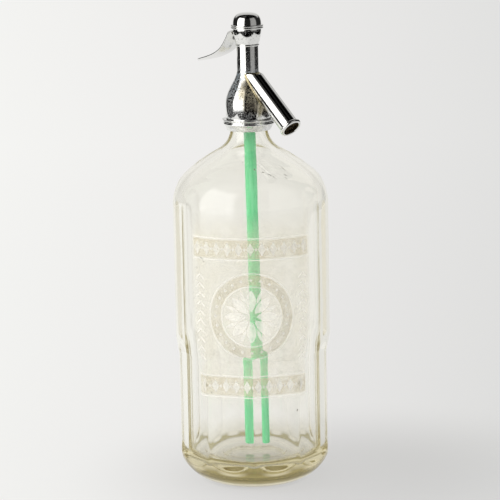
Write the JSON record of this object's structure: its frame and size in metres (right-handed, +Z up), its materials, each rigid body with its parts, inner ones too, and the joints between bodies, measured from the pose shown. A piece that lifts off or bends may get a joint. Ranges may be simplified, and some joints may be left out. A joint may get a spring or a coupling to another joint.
{
  "type": "soda siphon",
  "caption": "Tall glass bottle with a chromed head: a thumb lever lifts a spring-shut valve inside, and water leaves by a straight sloping spout.",
  "frame": {"origin": "on the bottle's axis at the plane it stands on", "axes": "+Z up the bottle's axis, +X towards the spout, so the lever points along -X"},
  "size_m": [0.1024, 0.1024, 0.3111],
  "materials": {
    "glass": "clear, faint warm tint",
    "chromed_brass": "worn polish",
    "green_tube": "translucent",
    "brass": "turned",
    "rubber": "matt",
    "steel": "drawn wire",
    "solder": "dull"
  },
  "bodies": {
    "siphon": {"bottle": "glass", "head_body": "chromed_brass", "collar_front": "chromed_brass", "collar_back": "chromed_brass", "cap": "chromed_brass", "spout_tube": "chromed_brass", "dip_tube": "green_tube", "tube_nut": "brass", "valve_seat": "brass", "packing_washer": "brass", "gland_nut": "brass", "neck_seal": "rubber", "tube_grommet": "rubber", "packing_cup": "rubber", "spring": "steel", "lever_pin": "steel", "spout_solder": "solder"},
    "lever": {"lever": "chromed_brass"},
    "valve": {"valve_stem": "brass", "valve_washer": "rubber", "washer_nut": "brass", "lift_collar": "brass"}
  },
  "joints": [
    {"name": "lever_press", "type": "hinge", "parent": "siphon", "child": "lever", "pos_m": [-0.0062, 0, 0.2946], "axis": [0, -1, 0], "range_deg": [0, 18], "stiffness_Nm_per_rad": 0.2, "springref_deg": -25.78},
    {"name": "valve_lift", "type": "slide", "parent": "siphon", "child": "valve", "axis": [0, 0, 1], "range_m": [0, 0.00196], "deforming": ["spring"]}
  ],
  "couplings": [
    {"joint": "lever_press", "follows": "valve_lift", "rad_per_m": 159.96}
  ]
}
